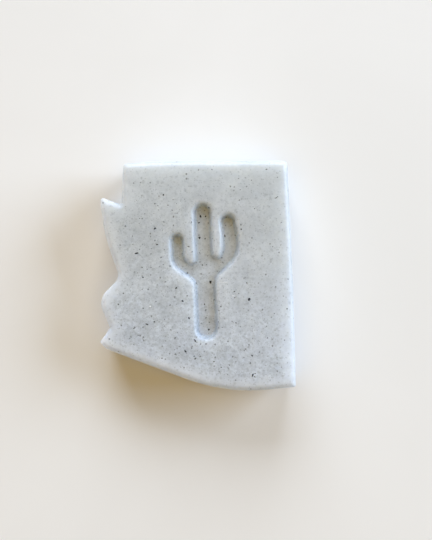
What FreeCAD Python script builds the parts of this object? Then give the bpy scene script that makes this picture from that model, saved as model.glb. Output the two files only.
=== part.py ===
# Bar of soap, cast in one piece: a flat bar in the outline of a desert state, with
# a saguaro cactus sunk into its face.
#
# Millimetres, +Z up. The bar lies on its plain back: the origin is the middle of that
# back, +Y points to the top edge of the outline and +X to its long straight side.

import FreeCAD
import Part
import Sketcher

import math
import os

Vector = FreeCAD.Vector

# Sizes
# Each row is an alias, its value and what it measures. Heights on the left side are
# measured from the bar's middle, insets from its left or right limit.

SIZES = (
    ("width", 71.5, "left limit to right limit"),
    ("length", 84.1, "bottom limit to top limit"),
    ("thickness", 24.0, "back to face"),
    ("face_radius", 2.3, "round-over where the face meets the sides"),
    ("back_radius", 0.8, "round-over where the back meets the sides"),

    ("top_left_inset", 9.15, "top left corner, in from the left limit"),
    ("top_left_drop", 0.5, "top left corner, below the top limit"),
    ("top_left_radius", 1.7, "top left corner"),
    ("crown_inset", 26.8, "highest point of the top edge, in from the left limit"),
    ("crown_rise", 0.12, "its corner, above the top limit"),
    ("crown_radius", 400.0, "bow of the top edge"),
    ("top_right_inset", 2.1, "top right corner, in from the right limit"),
    ("top_right_drop", 0.35, "top right corner, below the top limit"),
    ("top_right_radius", 1.9, "top right corner"),
    ("right_bow_inset", 0.6, "middle of the right side, in from the right limit"),
    ("right_bow_radius", 1500.0, "bow of the right side"),
    ("bottom_right_rise", 1.0, "bottom right corner, above the bottom limit"),
    ("bottom_right_radius", 1.0, "bottom right corner"),
    ("bend_inset", 25.6, "bend of the bottom edge, in from the right limit"),
    ("bend_drop", 1.2, "its corner, below the bottom limit"),
    ("bend_radius", 66.0, "bend of the bottom edge"),

    ("heel_inset", 2.65, "last bend before the left point, in from the left limit"),
    ("heel_drop", 2.65, "its corner, below the left point's"),
    ("heel_radius", 8.0, "last bend before the left point"),
    ("point_outset", 0.25, "left point's corner, out from the left limit"),
    ("point_height", 23.85, "left point's corner, below the middle"),
    ("point_radius", 1.0, "left point"),
    ("notch_inset", 3.6, "lower notch, in from the left limit"),
    ("notch_rise", 5.4, "lower notch, above the left point's corner"),
    ("notch_radius", 0.6, "lower notch"),
    ("belly_outset", 0.75, "belly's corner, out from the left limit"),
    ("belly_height", 8.2, "belly's corner, below the middle"),
    ("belly_radius", 7.0, "belly of the left side"),
    ("flank_inset", 1.7, "bend of the upper flank, in from the left limit"),
    ("flank_height", 16.0, "its corner, above the middle"),
    ("flank_radius", 66.0, "bow of the upper flank"),
    ("waist_depth", 5.7, "waist of the left side, in from the flank's bend"),
    ("waist_height", 0.1, "waist's corner, below the middle"),
    ("waist_radius", 4.0, "waist of the left side"),
    ("tab_inset", 0.6, "upper point's corner, in from the left limit"),
    ("tab_height", 29.6, "upper point's corner, above the middle"),
    ("tab_radius", 1.1, "upper point"),
    ("step_inset", 8.45, "step under the left edge, in from the left limit"),
    ("step_height", 26.55, "step, above the middle"),
    ("step_radius", 0.6, "step under the left edge"),

    ("cactus_x", 3.6, "foot of the cactus, right of the middle"),
    ("cactus_y", 23.1, "foot of the cactus, below the middle"),
    ("cactus_lean", 1.6, "lean of the trunk to the left, degrees"),
    ("cactus_height", 49.55, "foot to crown of the trunk"),
    ("recess_depth", 3.0, "face to floor of the recess"),
    ("recess_draft", 18.0, "slope of the recess walls, degrees"),
    ("recess_floor_radius", 0.6, "hollow where the walls meet the floor"),
    ("recess_rim_radius", 1.3, "round-over where the walls meet the face"),
    ("round_end_flat", 0.2, "flat left in the middle of each round end"),
    ("crotch_radius", 1.3, "crotch between an arm and the trunk"),

    ("trunk_foot_width", 8.1, "trunk below the arms"),
    ("trunk_crown_width", 6.8, "trunk above the arms"),

    ("left_arm_gap", 3.65, "trunk's side above the arms to the left arm"),
    ("left_arm_width", 5.1, "left arm, across"),
    ("left_arm_top", 38.95, "tip of the left arm, above the foot"),
    ("left_pit_height", 21.25, "left arm's underside at the trunk, above the foot"),
    ("left_pit_radius", 4.5, "left arm's underside at the trunk"),
    ("left_elbow_rise", 5.9, "outer corner of the left elbow, above the underside"),
    ("left_elbow_radius", 7.5, "outer corner of the left elbow"),
    ("left_root_rise", 4.5, "left arm's upper side at the trunk, above its underside"),
    ("left_bend_rise", 4.4, "inner corner of the left elbow, above the upper side"),
    ("left_bend_radius", 3.4, "inner corner of the left elbow"),

    ("right_arm_gap", 3.15, "trunk's side above the arms to the right arm"),
    ("right_arm_width", 6.35, "right arm, across"),
    ("right_arm_lean", 1.3, "tip of the right arm, back towards the trunk"),
    ("right_arm_top", 45.25, "tip of the right arm, above the foot"),
    ("right_tip_width", 5.5, "tip of the right arm, across"),
    ("right_inner_forearm", 3.7, "upright stretch of the right arm, from its inner corner"),
    ("right_outer_forearm", 6.7, "upright stretch of the right arm, from its outer corner"),
    ("right_wrist_radius", 14.0, "where the right arm starts to lean back"),
    ("right_pit_height", 22.0, "right arm's underside at the trunk, above the foot"),
    ("right_pit_radius", 4.5, "right arm's underside at the trunk"),
    ("right_elbow_rise", 7.9, "outer corner of the right elbow, above the underside"),
    ("right_elbow_radius", 9.5, "outer corner of the right elbow"),
    ("right_crotch_height", 22.65, "right arm's upper side at the trunk, above the foot"),
    ("right_bend_rise", 10.25, "inner corner of the right elbow, above the upper side"),
    ("right_bend_radius", 4.4, "inner corner of the right elbow"),
)


class Sum:
    """A sum of sizes from the sheet, each with its factor.

    It gives its value now, to draw with, and its expression, to bind a dimension by.
    """

    def __init__(self, factors):
        self.factors = factors

    def __add__(self, other):
        factors = dict(self.factors)
        for alias, factor in other.factors.items():
            factors[alias] = factors.get(alias, 0) + factor
        return Sum(factors)

    def __mul__(self, number):
        return Sum({alias: factor * number for alias, factor in self.factors.items()})

    def __neg__(self):
        return self * -1

    def __sub__(self, other):
        return self + -other

    def value(self, sheet):
        return sum(factor * getattr(sheet, alias) for alias, factor in self.factors.items())

    def expression(self):
        return " + ".join("%s * Sizes.%s" % (factor, alias) for alias, factor in self.factors.items())


def size(alias):
    """One size of the sheet."""
    return Sum({alias: 1})


# Outlines
# A corner is its name, its x, its y and the radius that rounds it. Corners run
# anticlockwise.

NOTHING = Sum({})
RIGHT = size("width") * 0.5
LEFT = -RIGHT
TOP = size("length") * 0.5
BOTTOM = -TOP

BAR_CORNERS = (
    ("top_left", LEFT + size("top_left_inset"), TOP - size("top_left_drop"), size("top_left_radius")),
    ("step", LEFT + size("step_inset"), size("step_height"), size("step_radius")),
    ("tab", LEFT + size("tab_inset"), size("tab_height"), size("tab_radius")),
    ("flank", LEFT + size("flank_inset"), size("flank_height"), size("flank_radius")),
    ("waist", LEFT + size("flank_inset") + size("waist_depth"), -size("waist_height"), size("waist_radius")),
    ("belly", LEFT - size("belly_outset"), -size("belly_height"), size("belly_radius")),
    ("notch", LEFT + size("notch_inset"), -size("point_height") + size("notch_rise"), size("notch_radius")),
    ("point", LEFT - size("point_outset"), -size("point_height"), size("point_radius")),
    ("heel", LEFT + size("heel_inset"), -size("point_height") - size("heel_drop"), size("heel_radius")),
    ("bend", RIGHT - size("bend_inset"), BOTTOM - size("bend_drop"), size("bend_radius")),
    ("bottom_right", RIGHT, BOTTOM + size("bottom_right_rise"), size("bottom_right_radius")),
    ("right_bow", RIGHT - size("right_bow_inset"), NOTHING, size("right_bow_radius")),
    ("top_right", RIGHT - size("top_right_inset"), TOP - size("top_right_drop"), size("top_right_radius")),
    ("crown", LEFT + size("crown_inset"), TOP + size("crown_rise"), size("crown_radius")),
)

FOOT_RIGHT = size("trunk_foot_width") * 0.5
CROWN_RIGHT = size("trunk_crown_width") * 0.5
HALF_FLAT = size("round_end_flat") * 0.5
FOOT_ROUND = FOOT_RIGHT - HALF_FLAT
CROWN_ROUND = CROWN_RIGHT - HALF_FLAT

RIGHT_INNER = CROWN_RIGHT + size("right_arm_gap")
RIGHT_OUTER = RIGHT_INNER + size("right_arm_width")
RIGHT_TIP_OUTER = RIGHT_OUTER - size("right_arm_lean")
RIGHT_TIP_INNER = RIGHT_TIP_OUTER - size("right_tip_width")
RIGHT_TIP_ROUND = size("right_tip_width") * 0.5 - HALF_FLAT
RIGHT_TOP = size("right_arm_top")
RIGHT_ELBOW = size("right_pit_height") + size("right_elbow_rise")
RIGHT_BEND = size("right_crotch_height") + size("right_bend_rise")
RIGHT_OUTER_WRIST = RIGHT_ELBOW + size("right_outer_forearm")
RIGHT_INNER_WRIST = RIGHT_BEND + size("right_inner_forearm")

LEFT_INNER = -CROWN_RIGHT - size("left_arm_gap")
LEFT_OUTER = LEFT_INNER - size("left_arm_width")
LEFT_TIP_ROUND = size("left_arm_width") * 0.5 - HALF_FLAT
LEFT_TOP = size("left_arm_top")
LEFT_ELBOW = size("left_pit_height") + size("left_elbow_rise")
LEFT_CROTCH = size("left_pit_height") + size("left_root_rise")
LEFT_BEND = LEFT_CROTCH + size("left_bend_rise")

CACTUS_CORNERS = (
    ("foot_left", -FOOT_RIGHT, NOTHING, FOOT_ROUND),
    ("foot_right", FOOT_RIGHT, NOTHING, FOOT_ROUND),
    ("right_pit", FOOT_RIGHT, size("right_pit_height"), size("right_pit_radius")),
    ("right_elbow", RIGHT_OUTER, RIGHT_ELBOW, size("right_elbow_radius")),
    ("right_wrist_outer", RIGHT_OUTER, RIGHT_OUTER_WRIST, size("right_wrist_radius")),
    ("right_tip_outer", RIGHT_TIP_OUTER, RIGHT_TOP, RIGHT_TIP_ROUND),
    ("right_tip_inner", RIGHT_TIP_INNER, RIGHT_TOP, RIGHT_TIP_ROUND),
    ("right_wrist_inner", RIGHT_INNER, RIGHT_INNER_WRIST, size("right_wrist_radius")),
    ("right_bend", RIGHT_INNER, RIGHT_BEND, size("right_bend_radius")),
    ("right_crotch", CROWN_RIGHT, size("right_crotch_height"), size("crotch_radius")),
    ("crown_right", CROWN_RIGHT, size("cactus_height"), CROWN_ROUND),
    ("crown_left", -CROWN_RIGHT, size("cactus_height"), CROWN_ROUND),
    ("left_crotch", -CROWN_RIGHT, LEFT_CROTCH, size("crotch_radius")),
    ("left_bend", LEFT_INNER, LEFT_BEND, size("left_bend_radius")),
    ("left_tip_inner", LEFT_INNER, LEFT_TOP, LEFT_TIP_ROUND),
    ("left_tip_outer", LEFT_OUTER, LEFT_TOP, LEFT_TIP_ROUND),
    ("left_elbow", LEFT_OUTER, LEFT_ELBOW, size("left_elbow_radius")),
    ("left_pit", -FOOT_RIGHT, size("left_pit_height"), size("left_pit_radius")),
)

LEVEL_TOLERANCE = 0.001

# Sketcher's own numbers: the ends of a line or arc, and the sketch's origin

START = 1
END = 2
ORIGIN = (-1, 1)


def make_sheet(doc):
    """Put every size in a spreadsheet, one alias to a row."""
    sheet = doc.addObject("Spreadsheet::Sheet", "Sizes")
    for row, (alias, value, note) in enumerate(SIZES, start=1):
        sheet.set("A%d" % row, alias)
        sheet.set("B%d" % row, str(value))
        sheet.set("C%d" % row, note)
        sheet.setAlias("B%d" % row, alias)
    doc.recompute()
    return sheet


def origin_plane(body, role):
    """One of the body's own origin planes."""
    return next(item for item in body.Origin.OriginFeatures if item.Role == role)


def new_sketch(body, name):
    """A sketch on the body's XY plane."""
    sketch = body.newObject("Sketcher::SketchObject", name)
    sketch.AttachmentSupport = [(origin_plane(body, "XY_Plane"), "")]
    sketch.MapMode = "FlatFace"
    return sketch


def rounded_corner(before, corner, after, radius):
    """Where an arc of this radius leaves and joins the two sides of a corner."""
    back = (before - corner).normalize()
    ahead = (after - corner).normalize()
    half_angle = back.getAngle(ahead) / 2
    reach = radius / math.tan(half_angle)
    centre = corner + (back + ahead).normalize() * (radius / math.sin(half_angle))
    turns_left = back.cross(ahead).z < 0
    return corner + back * reach, corner + ahead * reach, centre, turns_left


def draw_outline(sketch, sheet, corners):
    """Draw a closed outline of straight sides with an arc at every corner.

    A construction point stands at each sharp corner. Its place and the arc's radius
    are bound to the sheet, and tangency carries the rest.
    """
    count = len(corners)
    points = [Vector(x.value(sheet), y.value(sheet), 0) for _, x, y, _ in corners]
    rounds = [
        rounded_corner(points[i - 1], points[i], points[(i + 1) % count], corners[i][3].value(sheet))
        for i in range(count)
    ]
    sides = []
    arcs = []
    marks = []
    for i, (start, end, centre, turns_left) in enumerate(rounds):
        first, last = (start, end) if turns_left else (end, start)
        circle = Part.Circle(centre, Vector(0, 0, 1), (start - centre).Length)
        arc = Part.ArcOfCircle(circle, circle.parameter(first), circle.parameter(last))
        next_start = rounds[(i + 1) % count][0]
        sides.append(sketch.addGeometry(Part.LineSegment(end, next_start), False))
        arcs.append(sketch.addGeometry(arc, False))
        marks.append(sketch.addGeometry(Part.Point(points[i]), True))

    ties = []
    for i in range(count):
        arc_in, arc_out = (START, END) if rounds[i][3] else (END, START)
        ties.append(Sketcher.Constraint("Tangent", sides[i - 1], END, arcs[i], arc_in))
        ties.append(Sketcher.Constraint("Tangent", arcs[i], arc_out, sides[i], START))
        ties.append(Sketcher.Constraint("PointOnObject", marks[i], START, sides[i - 1]))
        ties.append(Sketcher.Constraint("PointOnObject", marks[i], START, sides[i]))
    sketch.addConstraint(ties)

    for i, (name, x, y, radius) in enumerate(corners):
        across = Sketcher.Constraint("DistanceX", *ORIGIN, marks[i], START, points[i].x)
        up = Sketcher.Constraint("DistanceY", *ORIGIN, marks[i], START, points[i].y)
        bind(sketch, name + "_x", across, x)
        bind(sketch, name + "_y", up, y)
        bind(sketch, name + "_radius", Sketcher.Constraint("Radius", arcs[i], radius.value(sheet)), radius)


def bind(sketch, name, constraint, amount):
    """Add a named dimension and tie it to the sheet."""
    index = sketch.addConstraint(constraint)
    sketch.renameConstraint(index, name)
    if amount.factors:
        sketch.setExpression("Constraints." + name, amount.expression())


def level_face(shape, height):
    """The flat face that lies at a height, looking up or down."""
    for face in shape.Faces:
        box = face.BoundBox
        if abs(box.ZMin - height) < LEVEL_TOLERANCE and abs(box.ZMax - height) < LEVEL_TOLERANCE:
            return face
    raise RuntimeError("no flat face at height %.3f" % height)


def edge_names(shape, wanted):
    """The names that a feature knows these edges by."""
    numbered = enumerate(shape.Edges, start=1)
    return ["Edge%d" % i for i, edge in numbered if any(edge.isSame(item) for item in wanted)]


def add_fillet(body, name, base, edges, alias):
    """Round a set of edges by a size from the sheet."""
    fillet = body.newObject("PartDesign::Fillet", name)
    fillet.Base = (base, edge_names(base.Shape, edges))
    fillet.setExpression("Radius", "Sizes." + alias)
    body.Document.recompute()
    return fillet


def make_bar(body, sheet):
    """The cast blank: the outline, padded to the bar's thickness."""
    sketch = new_sketch(body, "BarOutline")
    draw_outline(sketch, sheet, BAR_CORNERS)
    pad = body.newObject("PartDesign::Pad", "Blank")
    pad.Profile = sketch
    pad.setExpression("Length", "Sizes.thickness")
    body.Document.recompute()
    return pad


def make_recess(body, sheet, blank):
    """The cactus, sunk into the face with drafted walls."""
    sketch = new_sketch(body, "CactusOutline")
    sketch.AttachmentOffset = FreeCAD.Placement(
        Vector(sheet.cactus_x, -sheet.cactus_y, sheet.thickness),
        FreeCAD.Rotation(Vector(0, 0, 1), sheet.cactus_lean),
    )
    sketch.setExpression("AttachmentOffset.Base.x", "Sizes.cactus_x")
    sketch.setExpression("AttachmentOffset.Base.y", "-Sizes.cactus_y")
    sketch.setExpression("AttachmentOffset.Base.z", "Sizes.thickness")
    sketch.setExpression("AttachmentOffset.Rotation.Angle", "Sizes.cactus_lean")
    draw_outline(sketch, sheet, CACTUS_CORNERS)
    pocket = body.newObject("PartDesign::Pocket", "CactusRecess")
    pocket.Profile = sketch
    pocket.setExpression("Length", "Sizes.recess_depth")
    pocket.setExpression("TaperAngle", "-Sizes.recess_draft")
    body.Document.recompute()
    if pocket.Shape.Volume >= blank.Shape.Volume:
        raise RuntimeError("the recess cuts nothing")
    return pocket


def soften_edges(body, sheet, recess):
    """Round the recess floor and rim, then the face and back edges."""
    floor = level_face(recess.Shape, sheet.thickness - sheet.recess_depth)
    hollow = add_fillet(body, "RecessFloor", recess, floor.OuterWire.Edges, "recess_floor_radius")
    face = level_face(hollow.Shape, sheet.thickness)
    rim_edges = [edge for wire in face.Wires if not wire.isSame(face.OuterWire) for edge in wire.Edges]
    rim = add_fillet(body, "RecessRim", hollow, rim_edges, "recess_rim_radius")
    face = level_face(rim.Shape, sheet.thickness)
    round_over = add_fillet(body, "FaceEdge", rim, face.OuterWire.Edges, "face_radius")
    back = level_face(round_over.Shape, 0)
    return add_fillet(body, "BackEdge", round_over, back.OuterWire.Edges, "back_radius")


def make_soap(doc, sheet):
    """The whole bar as one body."""
    body = doc.addObject("PartDesign::Body", "SoapBar")
    body.Label = "soap_bar"
    blank = make_bar(body, sheet)
    recess = make_recess(body, sheet, blank)
    body.Tip = soften_edges(body, sheet, recess)
    body.Placement = FreeCAD.Placement()
    doc.recompute()
    return body


def check(doc, body):
    """Stop if any object failed or the bar is not one valid solid."""
    failed = [item.Name for item in doc.Objects if {"Invalid", "Error"} & set(item.State)]
    if failed:
        raise RuntimeError("failed: " + ", ".join(failed))
    shape = body.Shape
    if shape.isNull() or not shape.isValid() or len(shape.Solids) != 1:
        raise RuntimeError("the bar is not one valid solid")


def main():
    doc = FreeCAD.newDocument("soap")
    sheet = make_sheet(doc)
    soap = make_soap(doc, sheet)
    check(doc, soap)
    os.makedirs("parts", exist_ok=True)
    soap.Shape.exportStep(os.path.join("parts", soap.Label + ".step"))
    print("soap_bar: %d faces, volume %.0f cubic mm" % (len(soap.Shape.Faces), soap.Shape.Volume))


main()
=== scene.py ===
"""Looks of the cast bar of soap.

Metres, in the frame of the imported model: the bar lies on its plain back, +Z points
out of the face with the cactus and +Y towards the top edge of the outline.
"""

import logging
import math
import random
from dataclasses import dataclass
from enum import Enum
from itertools import accumulate
from typing import Union

import bmesh
import bpy
from mathutils import Euler, Matrix, Vector, noise
from mathutils.bvhtree import BVHTree


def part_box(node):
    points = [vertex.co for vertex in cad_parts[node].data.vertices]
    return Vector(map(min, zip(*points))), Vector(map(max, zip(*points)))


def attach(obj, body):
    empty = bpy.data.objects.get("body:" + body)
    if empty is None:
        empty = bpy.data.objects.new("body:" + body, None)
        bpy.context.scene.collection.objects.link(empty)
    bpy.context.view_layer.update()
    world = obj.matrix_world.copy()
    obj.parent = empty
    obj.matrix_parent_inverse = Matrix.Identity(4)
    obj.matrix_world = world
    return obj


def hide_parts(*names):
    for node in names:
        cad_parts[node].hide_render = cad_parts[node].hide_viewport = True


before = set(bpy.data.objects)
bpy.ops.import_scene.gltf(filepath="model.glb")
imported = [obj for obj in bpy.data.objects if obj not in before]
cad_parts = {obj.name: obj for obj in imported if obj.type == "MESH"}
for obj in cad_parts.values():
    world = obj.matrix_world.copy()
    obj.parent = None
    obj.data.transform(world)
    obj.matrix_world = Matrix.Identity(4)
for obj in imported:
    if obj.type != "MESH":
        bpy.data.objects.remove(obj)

LOG = logging.getLogger("soap")
MM = 0.001
INSET = "inset"
SOAP_IOR = 1.45

Colour = tuple[float, float, float]
Source = Union[float, bpy.types.NodeSocket]


class Grain(Enum):
    """The two kinds of larger mark in the soap's surface: charcoal grain, and pale flakes of painted highlight."""

    CHARCOAL = "charcoal"
    # the pale flakes are painted highlights: glints of small pits and of a faint scratch
    PAINTED_GLINT = "pale"


class Workbench:
    """Adds nodes to one node tree and links them."""

    def __init__(self, tree: bpy.types.NodeTree) -> None:
        """Work on a tree.

        Args:
            tree: the material's or group's node tree.
        """
        self.tree = tree

    def add(self, kind: str, **settings: object) -> bpy.types.Node:
        """Add a node.

        Args:
            kind: Blender's name of the node's type.
            settings: properties to set on the node.

        Returns:
            The new node.
        """
        node = self.tree.nodes.new(kind)
        for name, value in settings.items():
            setattr(node, name, value)
        return node

    def feed(self, socket: bpy.types.NodeSocket, source: Source) -> None:
        """Give an input a value, or link it.

        Args:
            socket: the input.
            source: a number, a colour or an output to link from.
        """
        if isinstance(source, bpy.types.NodeSocket):
            self.tree.links.new(source, socket)
        else:
            socket.default_value = source

    def math(self, operation: str, first: Source, second: Source = 0.0) -> bpy.types.NodeSocket:
        """Combine two values.

        Args:
            operation: the Math node's operation.
            first: its first value.
            second: its second value.

        Returns:
            The result's socket.
        """
        node = self.add("ShaderNodeMath", operation=operation)
        self.feed(node.inputs[0], first)
        self.feed(node.inputs[1], second)
        return node.outputs[0]

    def line(self, value: Source, slope: Source, start: Source) -> bpy.types.NodeSocket:
        """Multiply a value by a slope and add a start.

        Args:
            value: the value to read.
            slope: what it is multiplied by.
            start: the result where the value is 0.

        Returns:
            The result's socket.
        """
        node = self.add("ShaderNodeMath", operation="MULTIPLY_ADD")
        for socket, source in zip(node.inputs, (value, slope, start)):
            self.feed(socket, source)
        return node.outputs[0]

    def scaled(self, vector: bpy.types.NodeSocket, factor: Source) -> bpy.types.NodeSocket:
        """Multiply a vector by a number.

        Args:
            vector: the vector's socket.
            factor: the number or its socket.

        Returns:
            The scaled vector's socket.
        """
        node = self.add("ShaderNodeVectorMath", operation="SCALE")
        self.feed(node.inputs[0], vector)
        self.feed(node.inputs["Scale"], factor)
        return node.outputs[0]

    def ramp(self, value: Source, start: Source, end: Source) -> bpy.types.NodeSocket:
        """Turn a range of values into a smooth step from 0 to 1.

        Args:
            value: the value to read.
            start: where the step begins.
            end: where the step ends.

        Returns:
            The step's socket.
        """
        node = self.add("ShaderNodeMapRange", interpolation_type="SMOOTHSTEP")
        self.feed(node.inputs["Value"], value)
        self.feed(node.inputs["From Min"], start)
        self.feed(node.inputs["From Max"], end)
        return node.outputs["Result"]

    def mix(self, share: Source, first: object, second: object) -> bpy.types.NodeSocket:
        """Mix two colours.

        Args:
            share: how much of the second colour shows.
            first: a colour or its socket.
            second: a colour or its socket.

        Returns:
            The mixed colour's socket.
        """
        node = self.add("ShaderNodeMix", data_type="RGBA")
        self.feed(node.inputs["Factor"], share)
        self.feed(node.inputs[6], first)
        self.feed(node.inputs[7], second)
        return node.outputs[2]

    def noise(self, place: bpy.types.NodeSocket, scale: Source, **settings: float) -> bpy.types.Node:
        """Add a noise texture.

        Args:
            place: the point to read it at.
            scale: its scale.
            settings: its other inputs, by name.

        Returns:
            The texture's node.
        """
        node = self.add("ShaderNodeTexNoise")
        self.feed(node.inputs["Vector"], place)
        self.feed(node.inputs["Scale"], scale)
        for name, value in settings.items():
            self.feed(node.inputs[name], value)
        return node

    def place(self) -> bpy.types.NodeSocket:
        """The point on the object, in metres."""
        return self.add("ShaderNodeTexCoord").outputs["Object"]

    def attribute(self, name: str) -> bpy.types.NodeSocket:
        """A value stored on the piece's own mesh."""
        return self.add("ShaderNodeAttribute", attribute_name=name).outputs["Fac"]

    def group(self, tree: bpy.types.NodeTree, **values: object) -> bpy.types.Node:
        """Place a shared group.

        Args:
            tree: the group.
            values: what to feed its inputs, by name.

        Returns:
            The group's node.
        """
        node = self.add("ShaderNodeGroup", node_tree=tree)
        for name, value in values.items():
            self.feed(node.inputs[name], value)
        return node


def new_group(
    name: str, inputs: dict[str, str], outputs: dict[str, str]
) -> tuple[Workbench, bpy.types.Node, bpy.types.Node]:
    """Start a shader node group with named sockets.

    Args:
        name: the group's name.
        inputs: socket types by input name.
        outputs: socket types by output name.

    Returns:
        Its workbench, its input node and its output node.
    """
    tree = bpy.data.node_groups.new(name, "ShaderNodeTree")
    for socket, kind in inputs.items():
        tree.interface.new_socket(socket, in_out="INPUT", socket_type="NodeSocket" + kind)
    for socket, kind in outputs.items():
        tree.interface.new_socket(socket, in_out="OUTPUT", socket_type="NodeSocket" + kind)
    bench = Workbench(tree)
    return bench, bench.add("NodeGroupInput"), bench.add("NodeGroupOutput")


CLOUD_STEP = (0.32, 0.68)  # the noise's values between which a cloud's edge lies
CENTRE = (0.5, 0.5, 0.5)  # the middle of a noise's colour
RAGGED_SCALE = 0.6  # how fine the ragged edge of a grain is, for a radius of 1
RAGGED_SHIFT = 2.2  # how far that moves the edge, in radii
LEAST_GRAIN = 0.4  # the smallest grain, as a part of the usual radius
GRAIN_RANGE = 0.9  # how much larger the largest one is
BROAD_SCALE = 0.22  # the scale of a skin's broad swells, as a part of its fine ones


@dataclass(frozen=True)
class Effects:
    """The effects that the finishes share, each a node group."""

    cloud: bpy.types.NodeTree
    ground: bpy.types.NodeTree
    skin: bpy.types.NodeTree

    @classmethod
    def build(cls) -> "Effects":
        """Build every group once."""
        return cls(cls.cloud_group(), cls.ground_group(), cls.skin_group())

    @staticmethod
    def cloud_group() -> bpy.types.NodeTree:
        """Soft patches between two tones, as in soap that was stirred by hand.

        Returns:
            The group, with outputs Colour and Mask.
        """
        bench, given, out = new_group(
            "cloud",
            {"Place": "Vector", "Scale": "Float", "Dark": "Color", "Light": "Color"},
            {"Colour": "Color", "Mask": "Float"},
        )
        patches = bench.noise(
            given.outputs["Place"], given.outputs["Scale"], Detail=4.0, Roughness=0.6, Distortion=0.6
        )
        mask = bench.ramp(patches.outputs["Fac"], *CLOUD_STEP)
        bench.feed(out.inputs["Mask"], mask)
        bench.feed(out.inputs["Colour"], bench.mix(mask, given.outputs["Dark"], given.outputs["Light"]))
        return bench.tree

    @staticmethod
    def ground_group() -> bpy.types.NodeTree:
        """Ragged grains scattered through the whole solid.

        Returns:
            The group, with output Mask: 1 in a grain and 0 outside.
        """
        bench, given, out = new_group(
            "ground",
            {"Place": "Vector", "Spacing": "Float", "Radius": "Float", "Share": "Float", "Blur": "Float"},
            {"Mask": "Float"},
        )
        place, radius = given.outputs["Place"], given.outputs["Radius"]
        ragged = bench.noise(place, bench.math("DIVIDE", RAGGED_SCALE, radius), Detail=1.0)
        centred = bench.add("ShaderNodeVectorMath", operation="SUBTRACT")
        bench.feed(centred.inputs[0], ragged.outputs["Color"])
        bench.feed(centred.inputs[1], CENTRE)
        shift = bench.scaled(centred.outputs[0], bench.math("MULTIPLY", radius, RAGGED_SHIFT))
        moved = bench.add("ShaderNodeVectorMath", operation="ADD")
        bench.feed(moved.inputs[0], place)
        bench.feed(moved.inputs[1], shift)

        cells = bench.add("ShaderNodeTexVoronoi", voronoi_dimensions="3D", feature="F1")
        bench.feed(cells.inputs["Vector"], moved.outputs[0])
        bench.feed(cells.inputs["Scale"], bench.math("DIVIDE", 1.0, given.outputs["Spacing"]))
        chance = bench.add("ShaderNodeSeparateColor")
        bench.feed(chance.inputs[0], cells.outputs["Color"])
        size = bench.line(chance.outputs[0], GRAIN_RANGE, LEAST_GRAIN)
        reach = bench.math("MULTIPLY", size, bench.math("DIVIDE", radius, given.outputs["Spacing"]))
        outer = bench.math("MULTIPLY", reach, bench.math("ADD", 1.0, given.outputs["Blur"]))
        inner = bench.math("MULTIPLY", reach, bench.math("SUBTRACT", 1.0, given.outputs["Blur"]))
        inside = bench.ramp(cells.outputs["Distance"], outer, inner)
        kept = bench.math("LESS_THAN", chance.outputs[1], given.outputs["Share"])
        bench.feed(out.inputs["Mask"], bench.math("MULTIPLY", inside, kept))
        return bench.tree

    @staticmethod
    def skin_group() -> bpy.types.NodeTree:
        """Fine unevenness of a surface that set in a mould and was handled.

        Returns:
            The group, with output Height.
        """
        bench, given, out = new_group(
            "skin", {"Place": "Vector", "Scale": "Float", "Ripple": "Float"}, {"Height": "Float"}
        )
        place, scale = given.outputs["Place"], given.outputs["Scale"]
        fine = bench.noise(place, scale, Detail=3.0)
        broad = bench.noise(place, bench.math("MULTIPLY", scale, BROAD_SCALE), Detail=2.0)
        swell = bench.math("MULTIPLY", broad.outputs["Fac"], given.outputs["Ripple"])
        bench.feed(out.inputs["Height"], bench.math("ADD", fine.outputs["Fac"], swell))
        return bench.tree


def new_material(name: str) -> tuple[bpy.types.Material, Workbench, bpy.types.Node]:
    """Start a material with its Principled shader.

    Args:
        name: the material's name.

    Returns:
        The material, its workbench and its shader.
    """
    material = bpy.data.materials.new(name)
    material.use_nodes = True
    bench = Workbench(material.node_tree)
    shader = next(node for node in material.node_tree.nodes if node.type == "BSDF_PRINCIPLED")
    return material, bench, shader


@dataclass(frozen=True)
class Skin:
    """How uneven a surface is under the fingers.

    Attributes:
        scale: how small the fine unevenness is.
        ripple: how strong the broad swells are beside it.
        strength: how much of it shows, from 0 to 1.
        height: how high it is, in metres.
    """

    scale: float
    ripple: float
    strength: float
    height: float

    def cover(self, bench: Workbench, effects: Effects, place: bpy.types.NodeSocket, shader: bpy.types.Node) -> None:
        """Give a shader this unevenness.

        Args:
            bench: the material's workbench.
            effects: the shared node groups.
            place: the point on the object.
            shader: the shader.
        """
        skin = bench.group(effects.skin, Place=place, Scale=self.scale, Ripple=self.ripple)
        bump = bench.add("ShaderNodeBump")
        bench.feed(bump.inputs["Strength"], self.strength)
        bench.feed(bump.inputs["Distance"], self.height)
        bench.feed(bump.inputs["Height"], skin.outputs["Height"])
        bench.feed(shader.inputs["Normal"], bump.outputs["Normal"])


@dataclass(frozen=True)
class Ground:
    """One size of ground grain inside the soap.

    Attributes:
        spacing: millimetres from grain to grain.
        radius: a grain's usual radius in millimetres.
        share: the part of the places that hold a grain, where they are as dense as usual.
        blur: how soft a grain's edge looks, from 0 to 1.
        strength: how strongly a grain shows, from 0 to 1.
    """

    spacing: float
    radius: float
    share: float
    blur: float
    strength: float

    def mask(
        self, bench: Workbench, effects: Effects, place: bpy.types.NodeSocket, crowd: bpy.types.NodeSocket
    ) -> bpy.types.NodeSocket:
        """Where these grains show, and how strongly.

        Args:
            bench: the material's workbench.
            effects: the shared node groups.
            place: the point on the object.
            crowd: how dense the grains are there.

        Returns:
            The mask's socket.
        """
        node = bench.group(
            effects.ground,
            Place=place,
            Spacing=self.spacing * MM,
            Radius=self.radius * MM,
            Share=bench.math("MULTIPLY", crowd, self.share),
            Blur=self.blur,
        )
        return bench.math("MULTIPLY", node.outputs["Mask"], self.strength)


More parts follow.
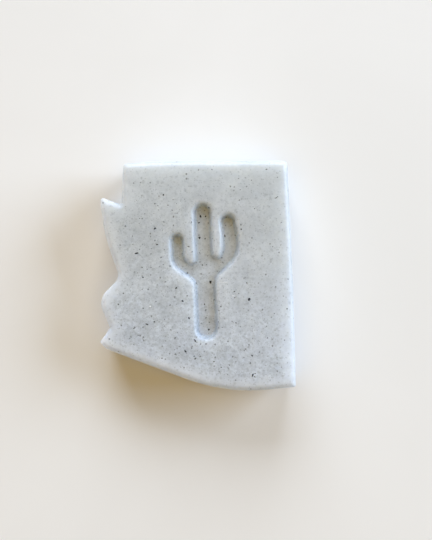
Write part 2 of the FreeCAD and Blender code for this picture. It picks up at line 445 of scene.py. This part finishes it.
@dataclass(frozen=True)
class SoapFinish:
    """Pale blue-grey soap that lets light in, clouded and full of ground charcoal.

    Attributes:
        lower: the dark and the light tone near the bottom edge.
        upper: the same two near the top edge.
        drift: from where to where, along Y, the lower tones give way to the upper.
        charcoal: the colour of the grains at the surface.
        smoke: the colour of the grains that lie deeper.
        cloud_scale: how small the clouds are.
        roughness: the least and the greatest roughness.
        light_depth: how far light travels in the soap, in metres.
        light_share: the part of the light that goes in.
        depth_by_colour: how far each colour travels, as a part of that.
        clear_skin: from where to where, in from the walls, the grains get dense.
        at_walls: how dense they are at the walls.
        clear_top: from where to where, along Y, the grains get dense below the top edge.
        at_top: how dense they are at the top edge.
        gather: from where to where, along X and Y together, they get denser to the lower left.
        gathered: how dense they are before and after that.
        stirred: how strong the mottling is at least.
        mottles: the scale and the strength of each size of mottling.
        deep: the grains that show faintly through the soap.
        dust: the finest grains.
        fine: the small grains at the surface.
        coarse: the larger grains at the surface.
        skin: the unevenness of the surface.
    """

    lower: tuple[Colour, Colour] = ((0.584, 0.644, 0.733), (0.653, 0.713, 0.796))
    upper: tuple[Colour, Colour] = ((0.540, 0.584, 0.626), (0.600, 0.641, 0.674))
    drift: tuple[float, float] = (-34.0 * MM, 22.0 * MM)
    charcoal: Colour = (0.060, 0.070, 0.085)
    smoke: Colour = (0.270, 0.310, 0.345)
    cloud_scale: float = 95.0
    roughness: tuple[float, float] = (0.32, 0.40)
    light_depth: float = 17.0 * MM
    light_share: float = 0.80
    depth_by_colour: Colour = (1.0, 0.93, 0.80)
    clear_skin: tuple[float, float] = (0.5 * MM, 8.0 * MM)
    at_walls: float = 0.15
    clear_top: tuple[float, float] = (42.0 * MM, 26.0 * MM)
    at_top: float = 0.40
    gather: tuple[float, float] = (30.0 * MM, -30.0 * MM)
    gathered: tuple[float, float] = (0.75, 1.35)
    stirred: float = 0.55
    mottles: tuple[tuple[float, float], ...] = ((230.0, 0.20), (950.0, 0.27))
    deep: Ground = Ground(1.7, 0.42, 1.0, 0.75, 0.38)
    dust: Ground = Ground(0.75, 0.20, 1.0, 0.60, 0.55)
    fine: Ground = Ground(1.6, 0.26, 0.70, 0.45, 0.70)
    coarse: Ground = Ground(3.8, 0.31, 0.50, 0.20, 0.90)
    skin: Skin = Skin(1400.0, 2.5, 0.35, 0.06 * MM)

    def material(self, effects: Effects) -> bpy.types.Material:
        """Build the material.

        Args:
            effects: the shared node groups.

        Returns:
            The soap's material.
        """
        material, bench, shader = new_material("speckled_soap")
        place = bench.place()
        spot = bench.add("ShaderNodeSeparateXYZ")
        bench.feed(spot.inputs[0], place)
        drift = bench.ramp(spot.outputs["Y"], *self.drift)
        dark, light = (bench.mix(drift, (*low, 1), (*high, 1)) for low, high in zip(self.lower, self.upper))
        cloud = bench.group(effects.cloud, Place=place, Scale=self.cloud_scale, Dark=dark, Light=light)
        crowd = self.crowd(bench, spot)
        tone = self.mottled(bench, effects, place, crowd, cloud.outputs["Colour"])
        for grains in (self.deep, self.dust):
            tone = bench.mix(grains.mask(bench, effects, place, crowd), tone, (*self.smoke, 1))
        masks = (grains.mask(bench, effects, place, crowd) for grains in (self.fine, self.coarse))
        bench.feed(shader.inputs["Base Color"], bench.mix(bench.math("MAXIMUM", *masks), tone, (*self.charcoal, 1)))

        least, most = self.roughness
        bench.feed(shader.inputs["Roughness"], bench.line(cloud.outputs["Mask"], most - least, least))
        bench.feed(shader.inputs["Subsurface Weight"], self.light_share)
        bench.feed(shader.inputs["Subsurface Scale"], self.light_depth)
        bench.feed(shader.inputs["Subsurface Radius"], self.depth_by_colour)
        bench.feed(shader.inputs["IOR"], SOAP_IOR)
        self.skin.cover(bench, effects, place, shader)
        return material

    def crowd(self, bench: Workbench, spot: bpy.types.Node) -> bpy.types.NodeSocket:
        """How dense the grains are: fewer near the walls and the top, more to the lower left.

        Args:
            bench: the material's workbench.
            spot: the node with the point's coordinates.

        Returns:
            The density's socket.
        """
        below = bench.line(bench.ramp(spot.outputs["Y"], *self.clear_top), 1.0 - self.at_top, self.at_top)
        inside = bench.math("MULTIPLY", bench.ramp(bench.attribute(INSET), *self.clear_skin), below)
        dense = bench.line(inside, 1.0 - self.at_walls, self.at_walls)
        across = bench.math("ADD", spot.outputs["X"], spot.outputs["Y"])
        before, after = self.gathered
        return bench.math("MULTIPLY", dense, bench.line(bench.ramp(across, *self.gather), after - before, before))

    def mottled(
        self,
        bench: Workbench,
        effects: Effects,
        place: bpy.types.NodeSocket,
        crowd: bpy.types.NodeSocket,
        tone: bpy.types.NodeSocket,
    ) -> bpy.types.NodeSocket:
        """Darken a tone in patches.

        Args:
            bench: the material's workbench.
            effects: the shared node groups.
            place: the point on the object.
            crowd: how dense the grains are there.
            tone: the tone to darken.

        Returns:
            The mottled tone's socket.
        """
        stirred = bench.math("MAXIMUM", crowd, self.stirred)
        for scale, strength in self.mottles:
            mottle = bench.group(effects.cloud, Place=place, Scale=scale)
            share = bench.math("MULTIPLY", mottle.outputs["Mask"], bench.math("MULTIPLY", stirred, strength))
            tone = bench.mix(share, tone, (*self.smoke, 1))
        return tone


@dataclass(frozen=True)
class GrainFinish:
    """A grain, or a pale flake of painted highlight, that lies in the surface, matt and of one kind.

    Attributes:
        name: the material's name.
        dark: its dark tone.
        light: its light tone.
        roughness: its roughness.
        cloud_scale: how small the patches of the two tones are.
        skin: the unevenness of its surface.
    """

    name: str
    dark: Colour
    light: Colour
    roughness: float
    cloud_scale: float = 2600.0
    skin: Skin = Skin(5000.0, 1.0, 0.4, 0.03 * MM)

    def material(self, effects: Effects) -> bpy.types.Material:
        """Build the material.

        Args:
            effects: the shared node groups.

        Returns:
            The grain's material.
        """
        material, bench, shader = new_material(self.name)
        place = bench.place()
        tones = {"Dark": (*self.dark, 1), "Light": (*self.light, 1)}
        cloud = bench.group(effects.cloud, Place=place, Scale=self.cloud_scale, **tones)
        bench.feed(shader.inputs["Base Color"], cloud.outputs["Colour"])
        bench.feed(shader.inputs["Roughness"], self.roughness)
        self.skin.cover(bench, effects, place, shader)
        return material


@dataclass(frozen=True)
class FloorFinish:
    """A plain pale floor.

    Attributes:
        dark: its dark tone.
        light: its light tone.
        cloud_scale: how small the patches of the two tones are.
        roughness: its roughness.
        shine: how much it reflects.
    """

    dark: Colour = (0.815, 0.810, 0.800)
    light: Colour = (0.840, 0.836, 0.828)
    cloud_scale: float = 6.0
    roughness: float = 0.7
    shine: float = 0.2

    def material(self, effects: Effects) -> bpy.types.Material:
        """Build the material.

        Args:
            effects: the shared node groups.

        Returns:
            The floor's material.
        """
        material, bench, shader = new_material("pale_floor")
        place = bench.place()
        tones = {"Dark": (*self.dark, 1), "Light": (*self.light, 1)}
        cloud = bench.group(effects.cloud, Place=place, Scale=self.cloud_scale, **tones)
        bench.feed(shader.inputs["Base Color"], cloud.outputs["Colour"])
        bench.feed(shader.inputs["Roughness"], self.roughness)
        bench.feed(shader.inputs["Specular IOR Level"], self.shine)
        return material


CHARCOAL = GrainFinish("charcoal_grain", (0.012, 0.014, 0.018), (0.045, 0.050, 0.060), 0.75)
# painted highlight: these pale tones stand for light glinting in small pits and along a scratch
PAINTED_GLINT = GrainFinish("painted_glint_flake", (0.84, 0.87, 0.90), (0.93, 0.95, 0.97), 0.5)


@dataclass(frozen=True)
class Fleck:
    """One grain, or one flake of painted highlight, that can be picked out on the face.

    Attributes:
        x: millimetres from the middle of the bar, towards its long straight side.
        y: the same, towards its top edge.
        across: its usual width in millimetres.
        stretch: its length, as a part of its width.
        turn: how far its length is turned from X, in degrees.
    """

    x: float
    y: float
    across: float
    stretch: float = 1.4
    turn: float = 0.0


CHARCOAL_FLECKS = (
    Fleck(20.3, 34.5, 0.70, 1.2, -60),
    Fleck(29.1, 28.0, 0.60, 1.9, 36),
    Fleck(29.7, 28.4, 0.55, 1.4, 37),
    Fleck(21.3, 24.2, 0.44),
    Fleck(16.2, 18.4, 0.58, 1.4, -77),
    Fleck(16.4, 16.8, 0.60, 1.5, -37),
    Fleck(-11.7, 29.6, 0.73, 1.2, 81),
    Fleck(-7.0, 26.4, 0.49, 1.6, 23),
    Fleck(-14.9, 17.5, 0.74, 1.7, 21),
    Fleck(-16.6, 15.6, 0.60, 1.6, -77),
    Fleck(-14.2, 11.7, 0.55, 1.7, 35),
    Fleck(-21.8, 8.6, 0.87, 2.2, 1),
    Fleck(-20.6, 10.0, 0.50, 1.5, -23),
    Fleck(-19.8, 3.4, 0.70, 1.5, -38),
    Fleck(-21.4, 1.5, 0.37),
    Fleck(-19.5, -0.2, 0.60, 1.8, 6),
    Fleck(-7.5, -4.2, 0.79, 1.2, 18),
    Fleck(-5.3, -9.0, 0.80, 1.6, -18),
    Fleck(-5.8, -11.4, 0.55, 1.6, -84),
    Fleck(-19.6, -11.4, 0.49, 1.4, -68),
    Fleck(-21.7, -12.7, 0.50, 1.4, 13),
    Fleck(-18.3, -17.2, 0.77, 2.3, -17),
    Fleck(-15.6, -16.3, 0.55, 1.4, 77),
    Fleck(-23.0, -18.6, 0.50, 1.7, 6),
    Fleck(-3.0, -15.2, 0.76, 1.2, -45),
    Fleck(-0.9, -23.3, 0.85, 2.4, -56),
    Fleck(-4.5, -27.1, 0.76, 1.9, -54),
    Fleck(-1.4, -29.1, 0.62, 1.7, 18),
    Fleck(5.8, -31.1, 0.68, 1.4, 10),
    Fleck(11.5, -32.4, 0.60, 1.3, 6),
    Fleck(8.5, -33.1, 0.45, 1.5, -7),
    Fleck(19.8, -29.1, 0.65, 1.8, -30),
    Fleck(19.9, -36.1, 0.88, 1.8, 62),
    Fleck(20.7, -35.6, 0.50, 1.8, 28),
    Fleck(20.6, -36.8, 0.58, 1.7, -50),
    Fleck(25.3, -22.8, 0.52, 1.6, 88),
    Fleck(18.1, -2.7, 0.66, 1.5, -14),
    Fleck(18.9, -8.6, 0.92, 1.4, -77),
    Fleck(13.5, -5.8, 0.66, 1.4, 27),
    Fleck(15.2, -6.5, 0.39),
    Fleck(13.7, -7.9, 0.48, 1.7, 9),
    Fleck(5.0, -2.2, 0.90, 1.3, -89),
    Fleck(4.1, -19.7, 0.71, 1.4, 66),
    Fleck(1.5, 21.9, 0.80, 1.3, -83),
    Fleck(3.4, 21.8, 0.70, 1.2, 66),
    Fleck(4.7, 24.9, 0.85, 1.4, 88),
    Fleck(1.0, 19.6, 0.60, 1.5, 30),
    Fleck(-1.7, 19.6, 0.50, 1.7, 65),
    Fleck(1.1, 14.0, 0.80, 1.1, -34),
    Fleck(3.2, 13.8, 0.50, 1.7, 59),
    Fleck(10.4, 14.5, 0.85, 1.3, -87),
    Fleck(-2.8, 10.7, 0.61, 1.5, -26),
    Fleck(3.6, 4.1, 0.38),
    Fleck(2.6, -10.3, 0.60, 1.5, -57),
    Fleck(-33.6, 27.0, 0.50, 1.4, -32),
    Fleck(-25.5, 25.5, 0.38, 1.3, -71),
    Fleck(32.6, -12.2, 0.55, 1.5, 82),
    Fleck(30.6, 11.0, 0.45, 1.8, 50),
    Fleck(30.9, 19.1, 0.48, 1.4, 79),
    Fleck(-20.4, 21.2, 0.42, 1.7, 32),
    Fleck(-20.6, 19.4, 0.42, 1.7, 3),
    Fleck(-13.8, 25.7, 0.42, 1.7, -44),
)

# painted highlights: pale flakes where small pits catch the light; the long one is a scratch catching it
PAINTED_GLINT_FLECKS = (
    Fleck(-17.0, -10.8, 0.60, 1.3, 20),
    Fleck(13.1, -7.3, 0.70, 4.0, 2),
    Fleck(10.2, -2.3, 0.75, 30.0, 0),
)


@dataclass
class SoapBar:
    """The cast bar: the solid from the model, with the soft unevenness of set soap.

    Metres and radians.

    Attributes:
        node: the model's node that the piece stands for.
        weld: points closer than this are one.
        flat_angle: faces that bend less than this are one.
        cut: the spacing of the cuts that let the surface take its unevenness.
        snap: points closer than this to a cut lie on it.
        margin: how far the whole surface is pressed in, to make room for the flecks.
        swells: the depth and the wavelength of each size of unevenness.
        foot: the height over which the unevenness grows from nothing.
        waist: the outer walls are measured from below this height.
        wall: the steepness that makes a face a wall, as its normal's greatest Z.
        smoothing: the weight of the large faces in the shading.
    """

    node: str = "soap_bar"
    weld: float = 0.002 * MM
    flat_angle: float = math.radians(0.3)
    cut: float = 1.5 * MM
    snap: float = 0.01 * MM
    margin: float = 0.04 * MM
    swells: tuple[tuple[float, float], ...] = ((0.10 * MM, 17.0 * MM), (0.035 * MM, 4.5 * MM))
    foot: float = 1.5 * MM
    waist: float = 19.0 * MM
    wall: float = 0.3
    smoothing: int = 50

    def build(self) -> bpy.types.Object:
        """Build the bar's piece.

        Returns:
            The piece, in place of the node.
        """
        solid = bmesh.new()
        solid.from_mesh(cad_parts[self.node].data)
        bmesh.ops.remove_doubles(solid, verts=solid.verts, dist=self.weld)
        bmesh.ops.dissolve_limit(
            solid, angle_limit=self.flat_angle, verts=solid.verts, edges=solid.edges, delimit=set()
        )
        self.cut_up(solid)
        self.ease(solid)
        mesh = bpy.data.meshes.new("speckled_bar")
        solid.to_mesh(mesh)
        solid.free()
        mesh.shade_smooth()
        self.note_inset(mesh)
        piece = bpy.data.objects.new("speckled_bar", mesh)
        bpy.context.scene.collection.objects.link(piece)
        weighted = piece.modifiers.new("even_shading", "WEIGHTED_NORMAL")
        weighted.mode = "FACE_AREA_WITH_ANGLE"
        weighted.weight = self.smoothing
        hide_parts(self.node)
        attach(piece, "root")
        return piece

    def note_inset(self, mesh: bpy.types.Mesh) -> None:
        """Store on each point of the mesh how far it lies from the outer walls.

        Args:
            mesh: the bar's mesh.
        """
        points = [vert.co for vert in mesh.vertices]
        low = [face for face in mesh.polygons if face.center.z < self.waist]
        walls = [face.vertices for face in low if abs(face.normal.z) < self.wall]
        tree = BVHTree.FromPolygons(points, walls)
        values = mesh.attributes.new(INSET, "FLOAT", "POINT").data
        for point, value in zip(points, values):
            value.value = (tree.find_nearest(point)[0] - point).xy.length

    def cut_up(self, solid: bmesh.types.BMesh) -> None:
        """Cut the solid's surface along evenly spaced planes.

        Args:
            solid: the bar's mesh.
        """
        low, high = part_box(self.node)
        for axis in range(3):
            count = int((high[axis] - low[axis]) / self.cut)
            normal = Vector((0.0, 0.0, 0.0))
            normal[axis] = 1.0
            for step in range(1, count + 1):
                point = low.lerp(high, step / (count + 1))
                everything = [*solid.verts, *solid.edges, *solid.faces]
                bmesh.ops.bisect_plane(solid, geom=everything, dist=self.snap, plane_co=point, plane_no=normal)

    def ease(self, solid: bmesh.types.BMesh) -> None:
        """Press the surface in by a soft uneven amount, and leave the back flat.

        Args:
            solid: the bar's mesh.
        """
        solid.normal_update()
        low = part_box(self.node)[0].z
        inward = {vert: -vert.normal for vert in solid.verts}
        for vert, direction in inward.items():
            swell = sum(depth * (0.5 + 0.5 * noise.noise(vert.co / wave)) for depth, wave in self.swells)
            lifted = min(1.0, max(0.0, (vert.co.z - low) / self.foot))
            vert.co += direction * (self.margin + swell * lifted)


@dataclass
class Flecks:
    """The larger grains, and the pale flakes of painted highlight: flakes set into the surface of the bar.

    Attributes:
        grain: their kind.
        picked: the ones that lie where they show on the face.
        scattered: how many lie by chance on the sides and the back.
        seed: what the chance starts from.
        host: the node that carries them.
        spread: how much wider they are made than they look, since their edges are thin.
        flatness: half the thickness, as a part of the radius.
        sunk: how deep the middle lies, as a part of half the thickness.
        raggedness: how far the points move in or out, as a part of the radius.
        round_from: the width in millimetres from which a flake gets more points.
        scattered_sizes: the widths of the scattered ones, in millimetres.
        scattered_stretch: how long they are for their width.
        steep: where the surface's normal has less Z, a flake lies along it.
        upright: where the normal has less Z, the scattered ones lie.
    """

    grain: Grain
    picked: tuple[Fleck, ...]
    scattered: int
    seed: int
    host: str = "soap_bar"
    spread: float = 1.25
    flatness: float = 0.22
    sunk: float = 0.55
    raggedness: float = 0.28
    round_from: float = 0.7
    scattered_sizes: tuple[float, float] = (0.35, 0.80)
    scattered_stretch: tuple[float, float] = (1.0, 1.9)
    steep: float = 0.6
    upright: float = 0.15

    def build(self, bar: bpy.types.Object) -> bpy.types.Object:
        """Build all the flakes as one piece.

        Args:
            bar: the bar that carries them.

        Returns:
            The piece.
        """
        dice = random.Random(self.seed)
        flakes = bmesh.new()
        points = [vert.co for vert in bar.data.vertices]
        surface = BVHTree.FromPolygons(points, [face.vertices for face in bar.data.polygons])
        for fleck in self.picked:
            self.set_flake(flakes, dice, fleck, *self.spot_on_face(surface, fleck))
        for spot, normal in self.spots_elsewhere(bar, dice):
            across = dice.uniform(*self.scattered_sizes)
            fleck = Fleck(0, 0, across, dice.uniform(*self.scattered_stretch), dice.uniform(0, 180))
            self.set_flake(flakes, dice, fleck, spot, normal)
        low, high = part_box(self.host)
        for vert in flakes.verts:
            vert.co = Vector(map(max, low, map(min, high, vert.co)))
        name = self.grain.value + "_flecks"
        mesh = bpy.data.meshes.new(name)
        flakes.to_mesh(mesh)
        flakes.free()
        mesh.shade_smooth()
        piece = bpy.data.objects.new(name, mesh)
        bpy.context.scene.collection.objects.link(piece)
        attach(piece, "root")
        return piece

    def spot_on_face(self, surface: BVHTree, fleck: Fleck) -> tuple[Vector, Vector]:
        """Where a fleck meets the surface, straight below its place.

        Args:
            surface: the bar's surface.
            fleck: the fleck.

        Returns:
            The point and the surface's normal there.
        """
        above = Vector((fleck.x * MM, fleck.y * MM, 1.0))
        spot, normal, _, _ = surface.ray_cast(above, Vector((0, 0, -1)))
        if spot is None:
            raise RuntimeError(f"the fleck at {fleck.x}, {fleck.y} is off the bar")
        return spot, normal

    def spots_elsewhere(self, bar: bpy.types.Object, dice: random.Random) -> list[tuple[Vector, Vector]]:
        """Places away from the face, as dense everywhere.

        Args:
            bar: the bar.
            dice: the seeded source of chance.

        Returns:
            Points and normals.
        """
        if not self.scattered:
            return []
        sides = [face for face in bar.data.polygons if face.normal.z < self.upright]
        total = list(accumulate(face.area for face in sides))
        chosen = dice.choices(sides, cum_weights=total, k=self.scattered)
        return [(face.center.copy(), face.normal.copy()) for face in chosen]

    def set_flake(
        self, flakes: bmesh.types.BMesh, dice: random.Random, fleck: Fleck, spot: Vector, normal: Vector
    ) -> None:
        """Set one flake into the surface.

        Args:
            flakes: the mesh to add it to.
            dice: the seeded source of chance.
            fleck: its size, stretch and turn.
            spot: the point on the surface.
            normal: the surface's normal there.
        """
        radius = fleck.across * self.spread * MM / 2
        long, short = radius * math.sqrt(fleck.stretch), radius / math.sqrt(fleck.stretch)
        thick = radius * self.flatness
        lie = normal.to_track_quat("Z", "Y").to_matrix() if normal.z < self.steep else Matrix.Identity(3)
        turn = Matrix.Rotation(math.radians(fleck.turn), 3, "Z")
        rounds = 2 if fleck.across > self.round_from else 1
        made = bmesh.ops.create_icosphere(flakes, subdivisions=rounds, radius=1.0)["verts"]
        for vert in made:
            vert.co *= 1.0 + self.raggedness * dice.uniform(-1, 1)
        shape = (lie @ turn).to_4x4() @ Matrix.Diagonal((long, short, thick, 1.0))
        middle = spot - normal * (thick * self.sunk)
        bmesh.ops.transform(flakes, matrix=Matrix.Translation(middle) @ shape, verts=made)


FLECKS = (
    (Flecks(Grain.CHARCOAL, CHARCOAL_FLECKS, scattered=210, seed=7), CHARCOAL),
    # pale flakes of painted highlight, for glints in small pits and along a scratch
    (Flecks(Grain.PAINTED_GLINT, PAINTED_GLINT_FLECKS, scattered=0, seed=11), PAINTED_GLINT),
)


@dataclass(frozen=True)
class Light:
    """One rectangular light that looks at the middle of the bar's back.

    Attributes:
        name: its name.
        distance: metres from there to the light.
        heading: degrees from +Y, clockwise as seen from above.
        height: degrees above the horizon.
        size: its width and height in metres.
        power: its power in watts.
        colour: its colour.
    """

    name: str
    distance: float
    heading: float
    height: float
    size: tuple[float, float]
    power: float
    colour: Colour


@dataclass
class Studio:
    """The floor, the lights and the camera.

    Metres and degrees. The camera looks straight down on the bar. Two cool windows
    stand beyond its top and right edges, a warm lamp hangs over it, and a little
    light comes in low from the left.

    Attributes:
        floor_side: the floor's length and width.
        camera_x: the middle of the picture.
        camera_y: the same, along Y.
        plane_height: the height at which the picture is as wide as the view.
        camera_distance: from there to the camera.
        view_width: how much the picture is across.
        roll: the camera's turn about its line of sight.
        sensor: the width of its sensor, in millimetres.
        near: what is nearer to it than this is left out.
        lights: the four lights.
        room: the faint light from all round.
        backdrop: what the camera sees beyond the floor.
    """

    floor_side: float = 1.4
    camera_x: float = 7.0 * MM
    camera_y: float = 2.13 * MM
    plane_height: float = 21.7 * MM
    camera_distance: float = 0.25
    view_width: float = 0.158
    roll: float = -0.75
    sensor: float = 36.0
    near: float = 0.01
    lights: tuple[Light, ...] = (
        Light("top_window", 2.5, -5.0, 27.0, (1.67, 1.58), 62.0, (0.821, 0.898, 1.0)),
        Light("right_window", 2.5, 70.0, 27.0, (1.67, 1.58), 69.0, (0.665, 0.803, 1.0)),
        Light("low_bounce", 0.8, 262.0, 7.0, (1.2, 0.16), 2.4, (0.97, 0.92, 1.0)),
        Light("lamp", 1.2, 195.0, 84.0, (1.2, 1.0), 4.5, (1.0, 0.60, 0.02)),
    )
    room: Colour = (0.100, 0.095, 0.085)
    backdrop: Colour = (0.84, 0.84, 0.83)

    def build(self, effects: Effects) -> None:
        """Build everything round the bar.

        Args:
            effects: the shared node groups.
        """
        self.lay_floor(effects)
        for light in self.lights:
            self.hang_light(light)
        self.fill_room()
        self.set_camera()

    def lay_floor(self, effects: Effects) -> None:
        """Lay the floor under the bar.

        Args:
            effects: the shared node groups.
        """
        sheet = bmesh.new()
        bmesh.ops.create_grid(sheet, x_segments=1, y_segments=1, size=self.floor_side / 2)
        mesh = bpy.data.meshes.new("floor")
        sheet.to_mesh(mesh)
        sheet.free()
        floor = bpy.data.objects.new("floor", mesh)
        bpy.context.scene.collection.objects.link(floor)
        mesh.materials.append(FloorFinish().material(effects))

    @staticmethod
    def hang_light(light: Light) -> None:
        """Hang one light.

        Args:
            light: the light.
        """
        lamp = bpy.data.lights.new(light.name, "AREA")
        lamp.shape = "RECTANGLE"
        lamp.size, lamp.size_y = light.size
        lamp.energy = light.power
        lamp.color = light.colour
        piece = bpy.data.objects.new(light.name, lamp)
        piece.visible_camera = False
        bpy.context.scene.collection.objects.link(piece)
        rise, turn = math.radians(light.height), math.radians(light.heading)
        flat = math.cos(rise)
        towards = Vector((math.sin(turn) * flat, math.cos(turn) * flat, math.sin(rise)))
        piece.location = towards * light.distance
        piece.rotation_euler = (-towards).to_track_quat("-Z", "Y").to_euler()

    def fill_room(self) -> None:
        """Light the room faintly from all round, and show a pale backdrop."""
        world = bpy.data.worlds.new("room")
        world.use_nodes = True
        background = next(node for node in world.node_tree.nodes if node.type == "BACKGROUND")
        bench = Workbench(world.node_tree)
        seen = bench.add("ShaderNodeLightPath").outputs["Is Camera Ray"]
        bench.feed(background.inputs["Color"], bench.mix(seen, (*self.room, 1), (*self.backdrop, 1)))
        bpy.context.scene.world = world

    def set_camera(self) -> None:
        """Set the camera straight above, as wide as the picture."""
        lens = bpy.data.cameras.new("camera")
        lens.sensor_fit = "HORIZONTAL"
        lens.sensor_width = self.sensor
        lens.lens = self.sensor * self.camera_distance / self.view_width
        lens.clip_start = self.near
        lens.dof.use_dof = False
        camera = bpy.data.objects.new("camera", lens)
        bpy.context.scene.collection.objects.link(camera)
        camera.location = (self.camera_x, self.camera_y, self.plane_height + self.camera_distance)
        camera.rotation_euler = Euler((0, 0, math.radians(self.roll)))
        bpy.context.scene.camera = camera


def main() -> None:
    """Build the bar, its flecks and the studio in order."""
    logging.basicConfig(level=logging.INFO, format="%(name)s: %(message)s")
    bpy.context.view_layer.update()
    effects = Effects.build()

    bar = SoapBar().build()
    bar.data.materials.append(SoapFinish().material(effects))
    LOG.info("bar: %d faces", len(bar.data.polygons))
    for flecks, finish in FLECKS:
        piece = flecks.build(bar)
        piece.data.materials.append(finish.material(effects))
        LOG.info("%s: %d faces", piece.name, len(piece.data.polygons))

    Studio().build(effects)
    bpy.context.scene.view_settings.view_transform = "Standard"
    bpy.context.view_layer.update()


if __name__ == "__main__":
    main()
